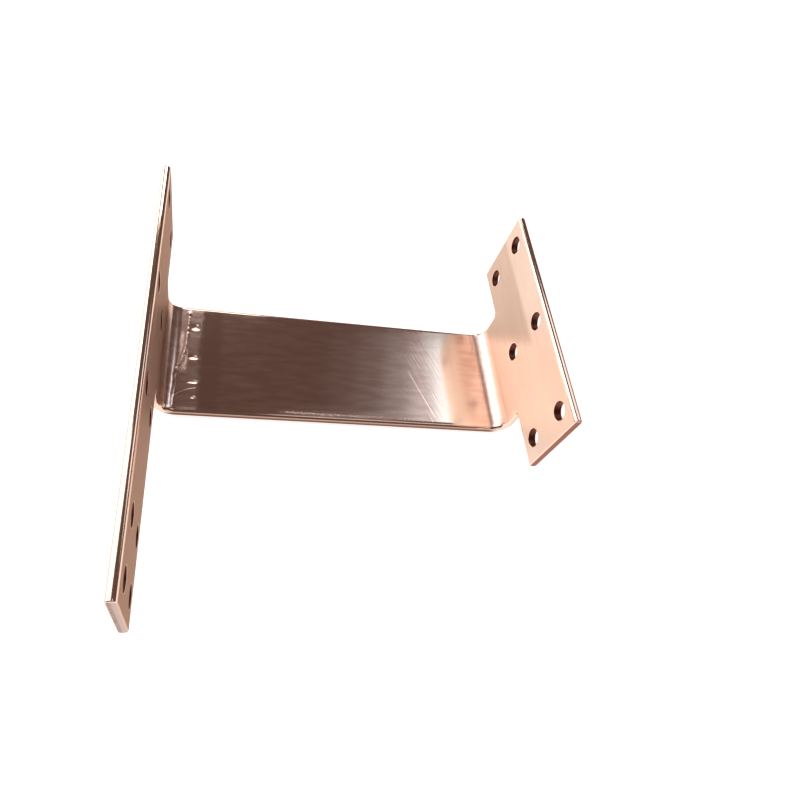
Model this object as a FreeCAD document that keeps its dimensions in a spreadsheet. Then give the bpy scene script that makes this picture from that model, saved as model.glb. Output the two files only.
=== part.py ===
"""Copper busbar: a flat strip bent up at both ends into wide drilled connection plates.

The origin is the centre of the strip's underside. X runs along the strip, from the long plate to
the short one, Y runs across it and Z points up. All sizes are in millimetres.
"""
import FreeCAD, Part
import os
import Sketcher

SIZES = (
    ("thickness", 6, "thickness of the copper flat"),
    ("strip_width", 100, "width of the strip between the plates"),
    ("overall_length", 287, "from outer face to outer face of the plates"),
    ("overall_height", 104, "from the strip's underside to the top of the plates"),
    ("plate_height", 70, "height of both connection plates"),
    ("bend_radius", 12, "inner radius of both bends"),
    ("notch_radius", 3, "relief where the neck meets the underside of a plate"),
    ("edge_radius", 2.6, "rolled round edge of the flat"),
    ("hole_diameter", 14, "clearance hole for a 12 mm bolt"),
    ("hole_pitch", 80, "row to row in the main hole group"),
    ("column_spacing", 40, "column to column in the main hole group"),
    ("end_margin", 17, "from the outermost row to the sawn end of a plate"),
    ("end_group_gap", 80, "from the main hole group to the end hole group"),
    ("end_group_pitch", 35, "row to row in the end hole group"),
    ("end_group_spacing", 35, "column to column in the end hole group"),
    ("end_group_drop", 4.5, "the end hole group's centre lies this far below the plate's middle"),
    ("rim_chamfer", 0.5, "deburred rim of a hole"),
    ("end_radius", 0.8, "deburred, rounded outline of a sawn end"),
)
MAIN_ROWS = 3
END_ROWS = 2
COLUMNS = 2

# Heights and lengths that several features share, as expressions on the sheet
PLATE_MIDDLE = "(sizes.overall_height - sizes.plate_height / 2)"
MAIN_REACH = f"({MAIN_ROWS - 1} * sizes.hole_pitch / 2)"
END_REACH = f"({MAIN_REACH} + sizes.end_group_gap + {END_ROWS - 1} * sizes.end_group_pitch)"
ROUND_EDGE = "min(sizes.edge_radius; 0.45 * sizes.thickness)"

SHARP_COSINE = 0.5
TOLERANCE = 1e-4

doc = FreeCAD.newDocument("busbar")
sheet = doc.addObject("Spreadsheet::Sheet", "sizes")
for row, (alias, value, meaning) in enumerate(SIZES, start=1):
    sheet.set(f"A{row}", meaning)
    sheet.set(f"B{row}", str(value))
    sheet.setAlias(f"B{row}", alias)
doc.recompute()

body = doc.addObject("PartDesign::Body", "Busbar")
body.Label = "busbar"


def origin_feature(role):
    """Plane or axis of the body's own origin."""
    return next(item for item in body.Origin.OriginFeatures if item.Role == role)


def new_sketch(name, role):
    sketch = body.newObject("Sketcher::SketchObject", name)
    sketch.AttachmentSupport = [(origin_feature(role), "")]
    sketch.MapMode = "FlatFace"
    return sketch


def drive(sketch, name, expression, *constraint):
    """Add a dimension to a sketch and bind it to an expression on the sheet."""
    index = sketch.addConstraint(Sketcher.Constraint(*constraint))
    sketch.renameConstraint(index, name)
    sketch.setExpression(f"Constraints.{name}", expression)


def draw_loop(sketch, corners):
    """Closed outline of straight lines through the corners; lines along an axis stay along it."""
    lines = []
    for start, end in zip(corners, corners[1:] + corners[:1]):
        segment = Part.LineSegment(FreeCAD.Vector(*start, 0), FreeCAD.Vector(*end, 0))
        lines.append(sketch.addGeometry(segment, False))
        direction = "Vertical" if start[0] == end[0] else "Horizontal"
        sketch.addConstraint(Sketcher.Constraint(direction, lines[-1]))
    for line, following in zip(lines, lines[1:] + lines[:1]):
        sketch.addConstraint(Sketcher.Constraint("Coincident", line, 2, following, 1))
    return lines


def edge_names(shape, wanted):
    return [f"Edge{number}" for number, edge in enumerate(shape.Edges, start=1) if wanted(edge)]


def is_sharp(shape, edge):
    """True where the two faces at an edge meet at an angle, and not smoothly."""
    middle = edge.valueAt((edge.FirstParameter + edge.LastParameter) / 2)
    first, second = (face.normalAt(*face.Surface.parameter(middle))
                     for face in shape.ancestorsOfType(edge, Part.Face))
    return first.dot(second) < SHARP_COSINE


def dress(kind, name, size_property, expression, wanted):
    """Fillet or chamfer the wanted edges of the body as it stands."""
    doc.recompute()
    base = body.Tip
    names = edge_names(base.Shape, wanted)
    feature = body.newObject(kind, name)
    feature.Base = (base, names)
    feature.setExpression(size_property, expression)


# The strip and its two upright legs: one section of a channel with rounded corners, as wide as the strip
half_length = sheet.overall_length / 2
top = sheet.overall_height
section = new_sketch("bent_strip_section", "XZ_Plane")
inner_half = half_length - sheet.thickness
outer_left, underside, outer_right, right_top, _, upper_side, _, left_top = draw_loop(section, [
    (-half_length, top), (-half_length, 0), (half_length, 0), (half_length, top),
    (inner_half, top), (inner_half, sheet.thickness), (-inner_half, sheet.thickness), (-inner_half, top),
])
section.addConstraint(Sketcher.Constraint("Symmetric", underside, 1, underside, 2, -1, 1))
section.addConstraint(Sketcher.Constraint("Equal", outer_left, outer_right))
section.addConstraint(Sketcher.Constraint("Equal", right_top, left_top))
drive(section, "length", "sizes.overall_length", "DistanceX", underside, 1, underside, 2, 2 * half_length)
drive(section, "height", "sizes.overall_height", "DistanceY", outer_right, 1, outer_right, 2, top)
drive(section, "leg", "sizes.thickness", "DistanceX", right_top, 2, right_top, 1, sheet.thickness)
drive(section, "flat", "sizes.thickness", "DistanceY", underside, 2, upper_side, 1, sheet.thickness)
channel = body.newObject("PartDesign::Pad", "bent_strip")
channel.Profile = section
channel.SideType = "Symmetric"
channel.setExpression("Length", "sizes.strip_width")


def across_bend(edge, height):
    """An edge that runs right across the strip, at a corner of the channel at the given height."""
    box = edge.BoundBox
    return box.YLength > sheet.strip_width - TOLERANCE and abs(box.ZMax - height) < TOLERANCE


dress("PartDesign::Fillet", "bend_inside", "Radius", "sizes.bend_radius",
      lambda edge: across_bend(edge, sheet.thickness))
dress("PartDesign::Fillet", "bend_outside", "Radius", "sizes.bend_radius + sizes.thickness",
      lambda edge: across_bend(edge, 0))


def add_plate(name, far_end, near_end, offset):
    """Connection plate: a rectangle across the leg, drawn on the YZ plane and as thick as the flat."""
    outline = new_sketch(f"{name}_outline", "YZ_Plane")
    outline.setExpression("AttachmentOffset.Base.z", offset)
    bottom = top - sheet.plate_height
    reach = sheet.strip_width
    near_side, _, far_side, _ = draw_loop(outline, [
        (-reach, bottom), (-reach, top), (reach, top), (reach, bottom)])
    drive(outline, "far_end", far_end, "DistanceX", -1, 1, far_side, 2, reach)
    drive(outline, "near_end", near_end, "DistanceX", near_side, 1, -1, 1, reach)
    drive(outline, "top", "sizes.overall_height", "DistanceY", -1, 1, far_side, 1, top)
    drive(outline, "height", "sizes.plate_height", "DistanceY", far_side, 2, far_side, 1, top - bottom)
    plate = body.newObject("PartDesign::Pad", name)
    plate.Profile = outline
    plate.setExpression("Length", "sizes.thickness")


short_reach = f"{MAIN_REACH} + sizes.end_margin"
long_reach = f"{END_REACH} + sizes.end_margin"
add_plate("short_plate", short_reach, short_reach, "sizes.overall_length / 2 - sizes.thickness")
add_plate("long_plate", short_reach, long_reach, "-sizes.overall_length / 2")


def at_notch(edge):
    """The inner corner where the side of a leg runs into the underside of its plate."""
    box = edge.BoundBox
    return (box.XLength > sheet.thickness - TOLERANCE
            and abs(abs(box.Center.y) - sheet.strip_width / 2) < TOLERANCE
            and abs(box.Center.z - (top - sheet.plate_height)) < TOLERANCE)


def at_sawn_end(edge):
    """An edge in the plane of a plate's end, beyond the strip's sides."""
    box = edge.BoundBox
    return box.YLength < TOLERANCE and abs(box.Center.y) > sheet.strip_width / 2 + TOLERANCE


dress("PartDesign::Fillet", "neck_notches", "Radius", "sizes.notch_radius", at_notch)
doc.recompute()
notched = body.Tip.Shape
dress("PartDesign::Fillet", "rounded_edges", "Radius", ROUND_EDGE,
      lambda edge: is_sharp(notched, edge) and not at_sawn_end(edge))
dress("PartDesign::Fillet", "deburred_ends", "Radius",
      f"min(sizes.end_radius; 0.9 * {ROUND_EDGE})", at_sawn_end)


def drill_group(name, reach, middle, pitch, spacing, rows):
    """Grid of through holes, made from its lowest hole at the near end by steps along Y and Z."""
    centre = new_sketch(f"{name}_centre", "YZ_Plane")
    start = FreeCAD.Vector(-sheet.strip_width, top, 0)
    outline = Part.Circle(start, FreeCAD.Vector(0, 0, 1), sheet.hole_diameter / 2)
    circle = centre.addGeometry(outline, False)
    drive(centre, "diameter", "sizes.hole_diameter", "Diameter", circle, sheet.hole_diameter)
    drive(centre, "reach", reach, "DistanceX", circle, 3, -1, 1, -start.x)
    drive(centre, "level", f"{middle} - {spacing} / 2", "DistanceY", -1, 1, circle, 3, start.y)
    hole = body.newObject("PartDesign::Pocket", f"{name}_hole")
    hole.Profile = centre
    hole.Type = "ThroughAll"
    hole.SideType = "Symmetric"
    doc.recompute()
    grid = body.newObject("PartDesign::MultiTransform", name)
    grid.Originals = [hole]
    steps = []
    for way, axis, step, count in (("rows", "Y_Axis", pitch, rows), ("columns", "Z_Axis", spacing, COLUMNS)):
        steps.append(body.newObject("PartDesign::LinearPattern", f"{name}_{way}"))
        steps[-1].Direction = (origin_feature(axis), [""])
        steps[-1].Mode = "Spacing"
        steps[-1].Occurrences = count
        steps[-1].setExpression("Offset", step)
    grid.Transformations = steps
    body.Tip = grid


# The main group is drilled through both plates, the end group only through the long plate's extension
drill_group("main_holes", MAIN_REACH, PLATE_MIDDLE, "sizes.hole_pitch", "sizes.column_spacing", MAIN_ROWS)
drill_group("end_holes", END_REACH, f"({PLATE_MIDDLE} - sizes.end_group_drop)",
            "sizes.end_group_pitch", "sizes.end_group_spacing", END_ROWS)
dress("PartDesign::Chamfer", "deburred_rims", "Size", "sizes.rim_chamfer", lambda edge: edge.isClosed())

doc.recompute()
for item in doc.Objects:
    if "Invalid" in item.State or "Error" in item.State:
        raise RuntimeError(f"{item.Name} failed: {item.State}")
if body.Shape.isNull() or not body.Shape.isValid() or len(body.Shape.Solids) != 1:
    raise RuntimeError("the busbar is not one valid solid")

os.makedirs("parts", exist_ok=True)
body.Shape.exportStep(f"parts/{body.Label}.step")
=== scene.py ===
"""Copper busbar: a drilled copper flat, bent up at both ends, on a pale floor in soft light."""
import math

import bmesh
import bpy
from mathutils import Matrix, Vector, geometry, noise


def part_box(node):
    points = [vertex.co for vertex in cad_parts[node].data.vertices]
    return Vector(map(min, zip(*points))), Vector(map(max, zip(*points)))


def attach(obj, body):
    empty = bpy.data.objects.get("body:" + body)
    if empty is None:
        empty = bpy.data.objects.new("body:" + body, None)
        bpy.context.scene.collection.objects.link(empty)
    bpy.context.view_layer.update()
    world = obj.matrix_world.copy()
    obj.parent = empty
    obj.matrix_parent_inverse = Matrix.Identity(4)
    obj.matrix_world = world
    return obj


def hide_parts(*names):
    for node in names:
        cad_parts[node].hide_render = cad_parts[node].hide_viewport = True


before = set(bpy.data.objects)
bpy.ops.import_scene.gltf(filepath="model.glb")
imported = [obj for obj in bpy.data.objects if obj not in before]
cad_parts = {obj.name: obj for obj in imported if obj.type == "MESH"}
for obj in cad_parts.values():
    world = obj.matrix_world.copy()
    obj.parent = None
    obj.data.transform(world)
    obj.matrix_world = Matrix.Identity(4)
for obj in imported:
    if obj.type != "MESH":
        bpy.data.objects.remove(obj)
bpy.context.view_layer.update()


# The busbar is one piece of copper flat. A blank with a wide head at each end was sheared, its edges were
# rolled round, its ends sawn and its holes drilled, and then both necks were bent up in a press brake. The
# mesh is made in the same order: flat, rounded, drilled, marked by the press and bent.
MM = 0.001
thickness = 6 * MM
strip_width = 100 * MM
plate_height = 70 * MM
bend_radius = 12 * MM
notch_radius = 3 * MM
edge_radius = 2.6 * MM
hole_radius = 7 * MM
hole_rows = (80 * MM, 0.0, -80 * MM)
hole_levels = (49 * MM, 89 * MM)
end_hole_rows = (-160 * MM, -195 * MM)
end_hole_levels = (47 * MM, 82 * MM)
rim_chamfer = 0.5 * MM
end_radius = 0.8 * MM
circle_segments = 48
tolerance = 0.01 * MM
merge_distance = 0.001 * MM

low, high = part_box("busbar")
far_end = high.y
short_near_end = -far_end
long_near_end = low.y
bend_start = high.x - thickness - bend_radius
middle_radius = bend_radius + thickness / 2
bend_length = middle_radius * math.pi / 2
bend_rise = bend_radius + thickness
bend_end = bend_start + bend_length


def along_blank(level):
    """Distance from the middle of the flat blank to what comes to lie at a height on an upright plate."""
    return bend_end + level - bend_rise


head_start = along_blank(high.z - plate_height)
head_end = along_blank(high.z)
half_width = strip_width / 2

bm = bmesh.new()
outline = [
    (-head_end, long_near_end), (-head_start, long_near_end), (-head_start, -half_width),
    (head_start, -half_width), (head_start, short_near_end), (head_end, short_near_end),
    (head_end, far_end), (head_start, far_end), (head_start, half_width),
    (-head_start, half_width), (-head_start, far_end), (-head_end, far_end),
]
bm.faces.new([bm.verts.new((u, y, 0)) for u, y in outline])
neck_corners = [v for v in bm.verts if abs(abs(v.co.y) - half_width) < tolerance]
bmesh.ops.bevel(bm, geom=neck_corners, offset=notch_radius, segments=6, profile=0.5,
                affect="VERTICES", material=-1)
for side in (-1, 1):
    bmesh.ops.bisect_plane(bm, geom=bm.verts[:] + bm.edges[:] + bm.faces[:],
                           plane_co=(side * bend_end, 0, 0), plane_no=(1, 0, 0))
raised = bmesh.ops.extrude_face_region(bm, geom=bm.faces[:])["geom"]
upper_side = [v for v in raised if isinstance(v, bmesh.types.BMVert)]
bmesh.ops.translate(bm, verts=upper_side, vec=(0, 0, thickness))
bmesh.ops.recalc_face_normals(bm, faces=bm.faces[:])

# The rolled long edges and the rounded outlines of the sawn ends
corner_angle = 0.5


def is_corner(edge):
    return edge.calc_face_angle(0) > corner_angle


def lies_flat(edge):
    return abs(edge.verts[0].co.z - edge.verts[1].co.z) < tolerance


def middle(edge):
    return (edge.verts[0].co + edge.verts[1].co) / 2


def at_sawn_end(point):
    """True in the plane of a plate's sawn end."""
    return min(abs(point.y - end) for end in (far_end, short_near_end, long_near_end)) < tolerance


rolled = [e for e in bm.edges if lies_flat(e) and is_corner(e) and not at_sawn_end(middle(e))]
bmesh.ops.bevel(bm, geom=rolled, offset=edge_radius, segments=8, profile=0.5, affect="EDGES",
                loop_slide=False, material=-1)
sawn_edges = [e for e in bm.edges if at_sawn_end(middle(e)) and is_corner(e)]
bmesh.ops.bevel(bm, geom=sawn_edges, offset=end_radius, segments=4, profile=0.5, affect="EDGES",
                loop_slide=False, material=-1)

# The holes: both flat sides of a head are filled anew round a ring for each hole, each pair of rings is
# bridged by the hole's wall, and the rims are deburred
holes = [(side * along_blank(level), y) for side in (-1, 1) for y in hole_rows for level in hole_levels]
holes += [(-along_blank(level), y) for y in end_hole_rows for level in end_hole_levels]
level_cosine = 0.999
rim_reach = 1 * MM


def from_hole(point):
    """Distance of a point of the blank from the nearest hole's axis."""
    return min(math.hypot(point.x - u, point.y - y) for u, y in holes)


rings = {hole: [] for hole in holes}
heads = [f for f in bm.faces if abs(f.normal.z) > level_cosine and abs(f.calc_center_median().x) > bend_end]
for head in heads:
    centre = head.calc_center_median()
    facing = head.normal.copy()
    border = list(head.edges)
    bmesh.ops.delete(bm, geom=[head], context="FACES_ONLY")
    for u, y in holes:
        if u * centre.x > 0:
            ring = bmesh.ops.create_circle(bm, segments=circle_segments, radius=hole_radius,
                                           matrix=Matrix.Translation((u, y, centre.z)))
            ring_edges = list({edge for v in ring["verts"] for edge in v.link_edges})
            rings[u, y] += ring_edges
            border += ring_edges
    bmesh.ops.triangle_fill(bm, edges=border, use_beauty=True, normal=facing)
for ring_pair in rings.values():
    bmesh.ops.bridge_loops(bm, edges=ring_pair)
bmesh.ops.recalc_face_normals(bm, faces=bm.faces[:])
rims = [e for e in bm.edges
        if lies_flat(e) and is_corner(e) and from_hole(middle(e)) < hole_radius + rim_reach]
bmesh.ops.bevel(bm, geom=rims, offset=rim_chamfer, segments=2, profile=0.5, affect="EDGES",
                loop_slide=False, material=-1)

# Finish of each face, told apart while the blank is flat
BUFFED, ROLLED, SAWN, DRILLED, GLANCING_SHADE = range(5)
wall_reach = 0.1 * MM
for face in bm.faces:
    centre = face.calc_center_median()
    if at_sawn_end(centre):
        face.material_index = SAWN
    elif from_hole(centre) < hole_radius + wall_reach:
        face.material_index = DRILLED
    elif abs(face.normal.z) < level_cosine:
        face.material_index = ROLLED

# Lines along the strip and across it, close together at the bends, which give the press marks their points
strip_step = 2.5 * MM
marked_step = 0.7 * MM
marked_reach = 22 * MM
bend_steps = 32
cross_step = 0.65 * MM
head_step = 10 * MM
end_band = 2 * MM


def ruled(first, last, step):
    """Lines between two places, evenly spaced by about a step."""
    count = max(1, round((last - first) / step))
    return [first + (last - first) * i / count for i in range(1, count)]


def cut(lines, axis, inside):
    """Cut the faces that pass the test along lines square to an axis of the blank."""
    normal = Vector((axis == "x", axis == "y", 0))
    uncut = [f for f in bm.faces if inside(f.calc_center_median())]
    for line in sorted(lines):
        edges = {e for f in uncut for e in f.edges}
        verts = {v for f in uncut for v in f.verts}
        parted = bmesh.ops.bisect_plane(bm, geom=uncut + list(edges) + list(verts), plane_co=normal * line,
                                        plane_no=normal, dist=merge_distance)["geom"]
        uncut = [f for f in parted
                 if isinstance(f, bmesh.types.BMFace) and f.calc_center_median().dot(normal) > line]


def on_strip(point):
    return abs(point.x) < bend_end


def on_head(point):
    return abs(point.x) > bend_end


plain_end = bend_start - marked_reach
strip_lines = ruled(-plain_end, plain_end, strip_step)
for side in (-1, 1):
    strip_lines += [side * line for line in [plain_end] + ruled(plain_end, bend_start, marked_step)]
    strip_lines += [side * (bend_start + bend_length * i / bend_steps) for i in range(bend_steps)]
cut(strip_lines, "x", on_strip)
cut(ruled(-half_width + edge_radius, half_width - edge_radius, cross_step), "y", on_strip)
upright_lines = ruled(bend_end, head_end - edge_radius, head_step)
cut([side * line for side in (-1, 1) for line in upright_lines], "x", on_head)
end_lines = [far_end - end_band, short_near_end + end_band, long_near_end + end_band]
cut(ruled(long_near_end, far_end, head_step) + end_lines, "y", on_head)

flat_map = bm.loops.layers.uv.new("blank")
# The long plate and its bend take the copper with the painted dark glancing reflection
for face in bm.faces:
    if face.material_index == BUFFED and face.calc_center_median().x < -bend_start:
        face.material_index = GLANCING_SHADE
    for loop in face.loops:
        loop[flat_map].uv = loop.vert.co.xy

# What the press did to the inner side, at places on the blank. Beside the long plate's bend the punch left
# a ragged ridge, here from side to side as (across, along, height, run on the strip's side, run on the
# plate's side), a thin bowed line through three places, and dents as (along, across, half length, half
# width, depth).
punch_ridge = [[value * MM for value in row] for row in (
    (-50.0, -129.5, 0.03, 1.2, 3.0), (-38.5, -129.5, 0.20, 1.2, 3.0), (-30.8, -128.9, 0.22, 1.2, 3.0),
    (-22.8, -127.5, 0.20, 1.2, 3.0), (-18.7, -128.8, 0.20, 1.2, 3.0), (-14.0, -128.0, 0.28, 2.0, 3.0),
    (-2.0, -124.1, 0.44, 2.6, 2.6), (11.0, -122.2, 0.42, 3.0, 1.8), (28.0, -121.5, 0.36, 3.0, 1.5),
    (50.0, -121.2, 0.24, 3.0, 1.3))]
ridge_wander = 0.5 * MM
ridge_wander_length = 2.5 * MM
ragged_line = 10.4 * MM
ragged_length = 2.6 * MM
ragged_mean, ragged_swing, ragged_least = 0.8, 0.7, 0.1
bowed_line = [Vector((u * MM, y * MM)) for u, y in ((-126.1, -34.7), (-119.0, -30.4), (-111.8, -28.4))]
bowed_height = 0.16 * MM
bowed_reach = 0.9 * MM
dents = [[value * MM for value in row] for row in (
    (-115.4, 29.8, 4.2, 4.2, 0.55), (-115.6, 0.4, 5.0, 2.6, 0.40), (-114.8, -22.4, 6.5, 1.9, 0.29),
    (-114.1, -36.1, 3.6, 1.6, 0.23))]
dent_ragged = 0.15
dent_ragged_length = 1.6 * MM
wave_height = 0.02 * MM
wave_length, wave_width = 35 * MM, 25 * MM
ripple_height = 0.03 * MM
ripple_length, ripple_width = 30 * MM, 6 * MM
ripple_start = 95 * MM
ripple_run = 20 * MM
crease_height = 0.1 * MM
crease_length, crease_width = 4 * MM, 5 * MM
crease_angle = 0.42
crease_middle = bend_start + crease_angle * middle_radius
crease_reach = 3 * MM
WAVE_LAYER, CREASE_LAYER, RIPPLE_LAYER = 0, 3, 7
side_run = 4 * MM
head_run = 6 * MM
shoulder_start = 44.5 * MM
shoulder_curve = 0.035 / MM


def eased(share):
    """Smooth step from 0 to 1."""
    share = min(max(share, 0.0), 1.0)
    return share * share * (3 - 2 * share)


def uneven(u, y, length, width, layer=WAVE_LAYER):
    """Noise from -1 to 1 at a place on the blank, in swellings of about this length and width."""
    return noise.noise(Vector((u / length, y / width, layer)))


def ridge_at(y):
    """Place along the blank, height and both runs of the punch's ridge at a place across the strip."""
    for first, last in zip(punch_ridge, punch_ridge[1:]):
        if y <= last[0]:
            share = (y - first[0]) / (last[0] - first[0])
            return [a + (b - a) * share for a, b in zip(first[1:], last[1:])]
    return punch_ridge[-1][1:]


def from_bowed_line(u, y):
    spot = Vector((u, y))
    gaps = []
    for start, end in zip(bowed_line, bowed_line[1:]):
        share = geometry.intersect_point_line(spot, start, end)[1]
        gaps.append((spot - start.lerp(end, min(max(share, 0), 1))).length)
    return min(gaps)


def press_mark(u, y):
    """How far the press raised the inner side at a place on the blank; less than nothing is a dent."""
    lift = wave_height * uneven(u, y, wave_length, wave_width)
    ridge, height, strip_run, plate_run = ridge_at(y)
    past = ridge - u + ridge_wander * uneven(u, y, ridge_wander_length, ridge_wander_length)
    ragged = ragged_mean + ragged_swing * uneven(ragged_line, y, ragged_length, ragged_length)
    lift += height * max(ragged, ragged_least) * eased(past / strip_run + 1) * (1 - eased(past / plate_run))
    lift += bowed_height * eased(1 - from_bowed_line(u, y) / bowed_reach)
    for dent_u, dent_y, dent_half_length, dent_half_width, depth in dents:
        share = math.hypot((u - dent_u) / dent_half_length, (y - dent_y) / dent_half_width)
        share += dent_ragged * uneven(u, y, dent_ragged_length, dent_ragged_length)
        if share < 1:
            lift -= depth * (1 - share * share) ** 2
    rippled = eased((u - ripple_start) / ripple_run)
    lift += ripple_height * rippled * uneven(u, y, ripple_length, ripple_width, RIPPLE_LAYER)
    creased = eased(1 - abs(u - crease_middle) / crease_reach)
    lift += crease_height * creased * uneven(u, y, crease_length, crease_width, CREASE_LAYER)
    from_side = half_width - edge_radius - abs(y)
    from_head = bend_end - abs(u)
    return lift * eased(from_side / side_run) * eased(from_head / head_run)


def worn_shoulder(u, y, z):
    """How far the buffing wheel took down the near shoulder of the strip."""
    past = max(-y - shoulder_start, 0)
    upper = eased(2 * z / thickness - 1)
    return shoulder_curve * past * past * upper * eased((bend_end - abs(u)) / bend_length)


def bent(point):
    """Place of a point of the flat blank after both bends."""
    side = math.copysign(1, point.x)
    past = abs(point.x) - bend_start
    if past <= 0:
        return point
    angle = min(past / bend_length, 1) * math.pi / 2
    radius = bend_rise - point.z
    rise = max(past - bend_length, 0)
    return Vector((side * (bend_start + radius * math.sin(angle)), point.y,
                   bend_rise - radius * math.cos(angle) + rise))


for v in bm.verts:
    v.co.z = min(max(v.co.z, 0), thickness)
    if on_strip(v.co):
        worn = worn_shoulder(*v.co)
        if v.co.z > thickness - tolerance:
            v.co.z += press_mark(v.co.x, v.co.y)
        v.co.z -= worn
    v.co = bent(v.co)
bmesh.ops.remove_doubles(bm, verts=bm.verts[:], dist=merge_distance)
bmesh.ops.recalc_face_normals(bm, faces=bm.faces[:])
crisp_angle = math.radians(30)
for face in bm.faces:
    face.smooth = True
for edge in bm.edges:
    edge.smooth = edge.calc_face_angle(0) < crisp_angle
mesh = bpy.data.meshes.new("busbar_visual")
bm.to_mesh(mesh)
bm.free()
busbar = bpy.data.objects.new("busbar_visual", mesh)
bpy.context.collection.objects.link(busbar)
even = busbar.modifiers.new("even_normals", "WEIGHTED_NORMAL")
even.keep_sharp = True
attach(busbar, "root")
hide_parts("busbar")


def linear(hex_colour):
    """Linear colour of an sRGB hex value."""
    parts = [int(hex_colour[i:i + 2], 16) / 255 for i in (1, 3, 5)]
    return tuple(c / 12.92 if c <= 0.04045 else ((c + 0.055) / 1.055) ** 2.4 for c in parts) + (1.0,)


def add_node(tree, kind, inputs, **settings):
    """Add a node with its settings. Inputs go by name or in order, each as a value, a socket to link from,
    or a node to link from by its first output in use."""
    node = tree.nodes.new(kind)
    for name, value in settings.items():
        setattr(node, name, value)
    for key, value in inputs.items() if isinstance(inputs, dict) else enumerate(inputs):
        if isinstance(value, bpy.types.Node):
            value = next(output for output in value.outputs if output.enabled)
        if isinstance(value, bpy.types.NodeSocket):
            tree.links.new(value, node.inputs[key])
        else:
            node.inputs[key].default_value = value
    return node


def new_copper(name, finish):
    """Bare copper of a finish, given as the values that are the same all over it."""
    material = bpy.data.materials.new(name)
    material.use_nodes = True
    shader = material.node_tree.nodes["Principled BSDF"]
    shader.inputs["Metallic"].default_value = 1.0
    for socket, value in finish.items():
        shader.inputs[socket].default_value = value
    return material, material.node_tree, shader


def streaks(tree, place, length, width, turn=0.0):
    """Noise drawn out into streaks of about this length and width, turned from the place's first axis."""
    drawn = add_node(tree, "ShaderNodeMapping", {
        "Vector": place, "Rotation": (0, 0, turn), "Scale": (length, width, width)}, vector_type="TEXTURE")
    return add_node(tree, "ShaderNodeTexNoise", {"Vector": drawn, "Scale": 1.0, "Detail": 2.0})


smooth = {"interpolation_type": "SMOOTHSTEP"}


def soft_patch(tree, amount, *sides):
    """An amount that fades to nothing past each side, which is a value with where the patch starts and
    where it is full."""
    for value, start, full in sides:
        amount = add_node(tree, "ShaderNodeMapRange", [value, start, full, 0.0, amount], **smooth)
    return amount


# Copper buffed on a wheel: the strip is nearly a mirror, with a faint haze along it, slanting strokes
# towards its short plate's end and a scuffed patch beside the punch's ridge. The plates are satin, brushed
# along their length. Haze, strokes, scratches and brush lines are drawn coarser than they are, to show.
glancing_tint = linear("#D8C4B8")
buffed, tree, shader = new_copper("buffed_copper", {"Specular Tint": glancing_tint})
place = add_node(tree, "ShaderNodeUVMap", {}, uv_map="blank")
blank = add_node(tree, "ShaderNodeSeparateXYZ", [place])
u_place = blank.outputs["X"]
v_place = blank.outputs["Y"]
on_short = soft_patch(tree, 1.0, (u_place, bend_start + 0.45 * bend_length, bend_end))
on_long = soft_patch(tree, 1.0, (u_place, -bend_start - 0.4 * bend_length, -bend_start - 0.8 * bend_length))
on_plate = add_node(tree, "ShaderNodeMath", [on_short, on_long])
mid_strip = ((u_place, -60 * MM, -35 * MM), (u_place, 70 * MM, 30 * MM))

# How the strip scatters light: its polish, and what the haze, the scuffs, the short plate's bend and the
# worn near side add to it
mirror = 0.1
haze_lines = soft_patch(tree, 0.07, (streaks(tree, place, 30 * MM, 1.5 * MM), 0.35, 0.75))
blotches = add_node(tree, "ShaderNodeMapRange", [
    streaks(tree, place, 28 * MM, 7 * MM), 0.42, 0.7, 0.3, 1.0], **smooth)
haze = add_node(tree, "ShaderNodeMath", [blotches, haze_lines], operation="MULTIPLY")
wander = add_node(tree, "ShaderNodeMapRange", [
    streaks(tree, place, 6 * MM, 6 * MM), 0.3, 0.7, -2 * MM, 2 * MM], **smooth)
wandering = add_node(tree, "ShaderNodeMath", [u_place, wander])
hazy = soft_patch(tree, haze, (u_place, 115 * MM, 95 * MM))
scuffed = soft_patch(tree, 0.07, (wandering, -108.5 * MM, -112.5 * MM))
beside_bend = soft_patch(tree, 0.13, (u_place, 90 * MM, 103 * MM))
in_bend = soft_patch(tree, 0.07, (u_place, bend_start - 6 * MM, bend_start + 2 * MM))
worn_side = soft_patch(tree, 0.12, *mid_strip, (v_place, -34 * MM, -47 * MM))
for roughening in (hazy, scuffed, beside_bend, in_bend, worn_side):
    mirror = add_node(tree, "ShaderNodeMath", [mirror, roughening])

# How the plates scatter it: brushed, unevenly in broad streaks, and worn smoother on the long plate
brush = streaks(tree, place, 30 * MM, 0.9 * MM, math.pi / 2)
broad = streaks(tree, place, 150 * MM, 14 * MM, math.pi / 2)
satin = add_node(tree, "ShaderNodeMapRange", [brush, 0.3, 0.7, 0.51, 0.55], **smooth)
brushed_unevenly = add_node(tree, "ShaderNodeMapRange", [broad, 0.35, 0.65, -0.02, 0.02], **smooth)
worn_smoother = add_node(tree, "ShaderNodeMath", [on_long, -0.13], operation="MULTIPLY")
for change in (brushed_unevenly, worn_smoother):
    satin = add_node(tree, "ShaderNodeMath", [satin, change])
finish = add_node(tree, "ShaderNodeMix", {"Factor": on_plate, "A": mirror, "B": satin})
tree.links.new(finish.outputs[0], shader.inputs["Roughness"])
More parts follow.
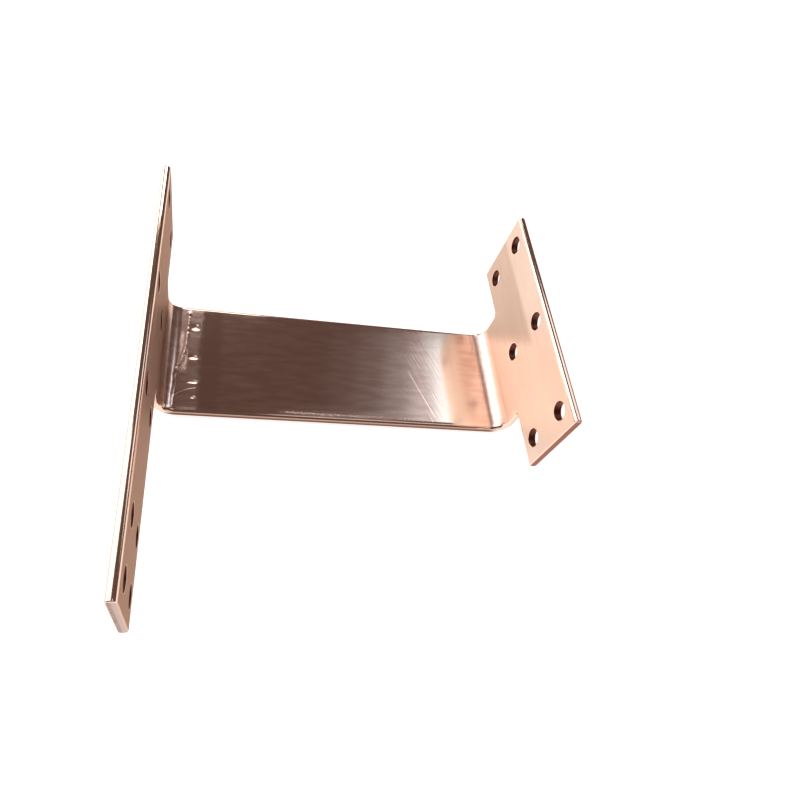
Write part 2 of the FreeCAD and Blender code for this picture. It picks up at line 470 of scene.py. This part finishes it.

# The strip's colour is smudged along it, darker in a band beside the punch's dents as a painted dark
# reflection, and palest beside the short plate. The long plate's has broad streaks, and the short plate's
# brush streaks, a painted shadow with a slanting edge and painted shade towards its far end.
smudged = soft_patch(tree, 1.0, (streaks(tree, place, 25 * MM, 5 * MM), 0.35, 0.65))
# Painted dark reflection: a darker band across the strip beside the punch's dents
painted_dark_band = soft_patch(tree, 1.0, (u_place, -113 * MM, -107 * MM), (u_place, -90 * MM, -99 * MM))
palest_beside_short = soft_patch(tree, 1.0, (u_place, 72 * MM, 86 * MM), (u_place, 114 * MM, 104 * MM))
tone = linear("#F6DBCF")
for share, colour in ((smudged, "#EBCABD"), (painted_dark_band, "#E4C4B6"), (palest_beside_short, "#FFEDE0")):
    tone = add_node(tree, "ShaderNodeMix", {"Factor": share, "A": tone, "B": linear(colour)},
                    data_type="RGBA")
long_tone = add_node(tree, "ShaderNodeMix", {
    "Factor": soft_patch(tree, 1.0, (broad, 0.3, 0.7)),
    "A": linear("#F1D2BF"), "B": linear("#ECCBB8")}, data_type="RGBA")
# Painted shadow on the short plate, past a slanting edge and below its top, and painted shade towards its
# far end, both added to the brush streaks
shadow_slant = 0.82
slant_rise = add_node(tree, "ShaderNodeMath", [u_place, shadow_slant], operation="MULTIPLY")
slanted = add_node(tree, "ShaderNodeMath", [v_place, slant_rise])
band = add_node(tree, "ShaderNodeMapRange", [v_place, 25 * MM, 80 * MM, 1.0, 0.6], **smooth)
brushing_and_painted_shadow = add_node(tree, "ShaderNodeMapRange", [brush, 0.3, 0.7, -0.14, 0.14], **smooth)
painted_slanting_shadow = soft_patch(tree, band, (slanted, 150 * MM, 168 * MM), (u_place, 212 * MM, 205 * MM))
painted_far_shade = soft_patch(tree, 0.28, (v_place, 10 * MM, 70 * MM))
for share in (painted_slanting_shadow, painted_far_shade):
    brushing_and_painted_shadow = add_node(tree, "ShaderNodeMath", [brushing_and_painted_shadow, share])
short_tone = add_node(tree, "ShaderNodeMix", {
    "Factor": brushing_and_painted_shadow, "A": linear("#F5DCCA"), "B": linear("#D8BCA9")}, data_type="RGBA")
for on_head_share, head_tone in ((on_long, long_tone), (on_short, short_tone)):
    tone = add_node(tree, "ShaderNodeMix", {"Factor": on_head_share, "A": tone, "B": head_tone},
                    data_type="RGBA")
tree.links.new(tone.outputs["Result"], shader.inputs["Base Color"])

# Relief too small for the mesh: the wheel's slanting strokes and two scratches, given by their ends in
# millimetres, then the pitted near shoulder, a sanded patch on the punch's ridge and the plates' brushing
stroke_turn = math.radians(-68)
stroke_patches = add_node(tree, "ShaderNodeMapRange", [
    streaks(tree, place, 25 * MM, 12 * MM, stroke_turn), 0.35, 0.65, 0.25, 1.0], **smooth)
relief = add_node(tree, "ShaderNodeBump", {
    "Height": streaks(tree, place, 45 * MM, 1.6 * MM, stroke_turn), "Distance": 0.05 * MM,
    "Strength": soft_patch(tree, stroke_patches, (u_place, 20 * MM, 75 * MM), (u_place, 96 * MM, 86 * MM))})
scratches = [(Vector((59, 7, 0)), Vector((80, -44, 0))), (Vector((71, 46, 0)), Vector((89, -1, 0)))]
scratch_width = 0.8 * MM
for start, end in scratches:
    run = (end - start) * MM
    turned = add_node(tree, "ShaderNodeMapping", {
        "Vector": place, "Location": start * MM, "Rotation": (0, 0, math.atan2(run.y, run.x)),
        "Scale": (run.length, scratch_width, 1)}, vector_type="TEXTURE")
    along, across, _ = add_node(tree, "ShaderNodeSeparateXYZ", [turned]).outputs
    relief = add_node(tree, "ShaderNodeBump", {
        "Height": soft_patch(tree, 1.0, (across, 0.5, -0.5)), "Distance": 0.03 * MM,
        "Strength": soft_patch(tree, 1.0, (along, 0.0, 0.2), (along, 1.0, 0.8)), "Normal": relief})
pitted = soft_patch(tree, 1.0, *mid_strip,
                    (v_place, -46.2 * MM, -45 * MM), (v_place, -43.2 * MM, -44.4 * MM))
sanded = soft_patch(tree, 1.0, (u_place, -129 * MM, -125 * MM), (u_place, -118.5 * MM, -121.5 * MM),
                    (v_place, -18 * MM, -8 * MM), (v_place, 30 * MM, 16 * MM))
for height, strength, depth in (
        (streaks(tree, place, 1.6 * MM, 0.8 * MM), pitted, 0.5 * MM),
        (streaks(tree, place, 1.2 * MM, 1.0 * MM), sanded, 0.25 * MM),
        (brush, on_plate, 0.012 * MM)):
    relief = add_node(tree, "ShaderNodeBump", {
        "Height": height, "Strength": strength, "Distance": depth, "Normal": relief})
tree.links.new(relief.outputs[0], shader.inputs["Normal"])

# The long plate: the same copper, but with a dark glancing tint that paints a darker reflection where it is
# seen at a glancing angle
glancing_shade = buffed.copy()
glancing_shade.name = "glancing_shade_copper"
glancing_shade.node_tree.nodes["Principled BSDF"].inputs["Specular Tint"].default_value = linear("#6C4E3E")

# Edges rolled round in the mill and deburred rims: the smoothest copper, with sharp bright lines along it.
# Its lowest part, on which the bar lies, is painted brown: painted shade along the foot of the edges.
rolled_copper, tree, shader = new_copper("rolled_copper", {
    "Roughness": 0.1, "Specular Tint": glancing_tint})
place = add_node(tree, "ShaderNodeTexCoord", {}).outputs["Object"]
height = add_node(tree, "ShaderNodeSeparateXYZ", [place]).outputs["Z"]
tone = add_node(tree, "ShaderNodeMix", {
    "Factor": soft_patch(tree, 1.0, (height, 3.4 * MM, 5.0 * MM)),
    "A": linear("#7C4836"), "B": linear("#F4D6C3")}, data_type="RGBA")
tree.links.new(tone.outputs["Result"], shader.inputs["Base Color"])

# Sawn ends: dull, mottled and scored across by the blade, with the metal smeared paler along the long
# plate's inner side, and redder on the short plate. The scores are drawn coarser than they are, to show.
sawn, tree, shader = new_copper("sawn_copper", {"Roughness": 0.42})
place = add_node(tree, "ShaderNodeTexCoord", {}).outputs["Object"]
x_place = add_node(tree, "ShaderNodeSeparateXYZ", [place]).outputs["X"]
mottled = soft_patch(tree, 1.0, (streaks(tree, place, 1.6 * MM, 1.6 * MM), 0.3, 0.7))
smeared = soft_patch(tree, 1.0, (x_place, -141.5 * MM, -140 * MM))
on_short_end = soft_patch(tree, 1.0, (x_place, -50 * MM, 50 * MM))
tone = linear("#84604E")
for share, colour in ((mottled, "#B08C7B"), (smeared, "#BDA498"), (on_short_end, "#9A5F4B")):
    tone = add_node(tree, "ShaderNodeMix", {"Factor": share, "A": tone, "B": linear(colour)},
                    data_type="RGBA")
tree.links.new(tone.outputs["Result"], shader.inputs["Base Color"])
relief = add_node(tree, "ShaderNodeBump", {
    "Height": streaks(tree, place, 12 * MM, 0.7 * MM), "Strength": 1.0, "Distance": 0.05 * MM})
tree.links.new(relief.outputs[0], shader.inputs["Normal"])

# Hole walls: painted dark brown as shade inside the holes, with rings of the drill's feed round them, which
# are drawn coarser than they are, to show
drilled, tree, shader = new_copper("drilled_copper", {"Roughness": 0.42})
place = add_node(tree, "ShaderNodeTexCoord", {}).outputs["Object"]
feed = streaks(tree, place, 0.8 * MM, 10 * MM)
tone = add_node(tree, "ShaderNodeMix", {
    "Factor": soft_patch(tree, 1.0, (feed, 0.35, 0.65)),
    "A": linear("#6A3A2E"), "B": linear("#8A5242")}, data_type="RGBA")
tree.links.new(tone.outputs["Result"], shader.inputs["Base Color"])
relief = add_node(tree, "ShaderNodeBump", {"Height": feed, "Strength": 1.0, "Distance": 0.04 * MM})
tree.links.new(relief.outputs[0], shader.inputs["Normal"])

for material in (buffed, rolled_copper, sawn, drilled, glancing_shade):
    mesh.materials.append(material)


# The floor is a plain table top with a matt white coat, on which the bar lies. It is white to the eye and
# in the copper, and takes a soft shadow.
floor_radius = 4.0
floor_drop = 0.1 * MM
floor_glow = 0.86
bm = bmesh.new()
bmesh.ops.create_circle(bm, cap_ends=True, segments=96, radius=floor_radius,
                        matrix=Matrix.Translation((0, 0, -floor_drop)))
mesh = bpy.data.meshes.new("floor")
bm.to_mesh(mesh)
bm.free()
floor = bpy.data.objects.new("floor", mesh)
bpy.context.collection.objects.link(floor)
pale = bpy.data.materials.new("pale_table")
pale.use_nodes = True
tree = pale.node_tree
tree.nodes.remove(tree.nodes["Principled BSDF"])
path = add_node(tree, "ShaderNodeLightPath", {})
seen = path.outputs["Is Camera Ray"]
for ray in ("Is Glossy Ray", "Is Transmission Ray"):
    seen = add_node(tree, "ShaderNodeMath", [seen, path.outputs[ray]], operation="MAXIMUM")
strength = add_node(tree, "ShaderNodeMath", [seen, floor_glow], operation="MULTIPLY")
glow = add_node(tree, "ShaderNodeEmission", {"Color": linear("#FFFFFF"), "Strength": strength})
matte = add_node(tree, "ShaderNodeBsdfDiffuse", {"Color": linear("#CCCCCC")})
both = add_node(tree, "ShaderNodeAddShader", [matte, glow])
tree.links.new(both.outputs[0], tree.nodes["Material Output"].inputs["Surface"])
mesh.materials.append(pale)


# The room is dim and brown. Lamps with broad white faces stand at the left and hang above, and a bluish
# skylight that brightens from pane to pane lies behind the short plate. The polished copper mirrors them.
world = bpy.data.worlds.new("room")
bpy.context.scene.world = world
world.use_nodes = True
world.node_tree.nodes["Background"].inputs["Color"].default_value = linear("#5F4E48")


def soft_lamp(name, place, aim, width, depth, radiance, colour="#FFFFFF", turn=0.0):
    """Area lamp at a place, turned to what it lights; its power follows from how bright its face looks."""
    lamp = bpy.data.lights.new(name, "AREA")
    lamp.color = linear(colour)[:3]
    lamp.shape = "RECTANGLE"
    lamp.size, lamp.size_y = width, depth
    lamp.energy = radiance * math.pi * width * depth
    lamp_object = bpy.data.objects.new(name, lamp)
    lamp_object.location = place
    facing = (Vector(aim) - Vector(place)).to_track_quat("-Z", "Y").to_matrix()
    lamp_object.rotation_euler = (facing @ Matrix.Rotation(turn, 3, "Z")).to_euler()
    bpy.context.collection.objects.link(lamp_object)


soft_lamp("left_lamp", (-1.442, 0.413, 1.38), (0, 0, 1.38), width=1.34, depth=2.75, radiance=2.0)
soft_lamp("far_left_lamp", (-1.004, 1.115, 1.38), (0, 0, 1.38), width=0.42, depth=2.75, radiance=2.6)
soft_lamp("ceiling_lamp", (-0.65, 0.35, 1.9), (-0.65, 0.35, 0), width=0.6, depth=1.0, radiance=1.8)
soft_lamp("overhead_lamp", (0.48, -0.1, 1.7), (0.48, -0.1, 0), width=0.76, depth=0.5, radiance=0.7)
soft_lamp("far_lamp", (-0.19, 1.42, 1.11), (-0.115, 0, 0), width=0.5, depth=0.42, radiance=4.0)
soft_lamp("front_lamp", (0.1, -1.7, 0.6), (0, 0, 0.2), width=2.4, depth=1.0, radiance=0.7)
skylight_colour = "#E4EEF6"
skylight_panes = (0.03, 0.08, 0.22, 0.7, 1.5, 2.0, 2.0)
skylight_turn = math.radians(-9)
first_pane = Vector((0.24, 0.6, 1.0))
pane_width, pane_depth = 0.08, 0.52
for number, radiance in enumerate(skylight_panes):
    pane = first_pane + Vector((pane_width * number, 0, 0))
    soft_lamp(f"skylight_pane_{number + 1}", pane, pane * Vector((1, 1, 0)), pane_width, pane_depth,
              radiance, skylight_colour, skylight_turn)
soft_lamp("side_pane", (1.13, 0.6, 1.0), (1.13, 0.6, 0), width=0.74, depth=pane_depth, radiance=1.2,
          colour=skylight_colour)


# The camera looks down on the bar from its near left, as the photograph was taken
image_side = 800
focal_pixels = 620.8
centre_pixel = (367.0, 415.4)
camera_place = (-0.0995, -0.2901, 0.4190)
camera_turn = [math.radians(angle) for angle in (30.9735, -13.7845, -4.3873)]
camera = bpy.data.cameras.new("camera")
camera.sensor_width = 36
camera.lens = camera.sensor_width * focal_pixels / image_side
camera.shift_x = 0.5 - centre_pixel[0] / image_side
camera.shift_y = centre_pixel[1] / image_side - 0.5
camera_object = bpy.data.objects.new("camera", camera)
camera_object.location = camera_place
camera_object.rotation_euler = camera_turn
bpy.context.collection.objects.link(camera_object)
bpy.context.scene.camera = camera_object
bpy.context.scene.view_settings.view_transform = "Standard"
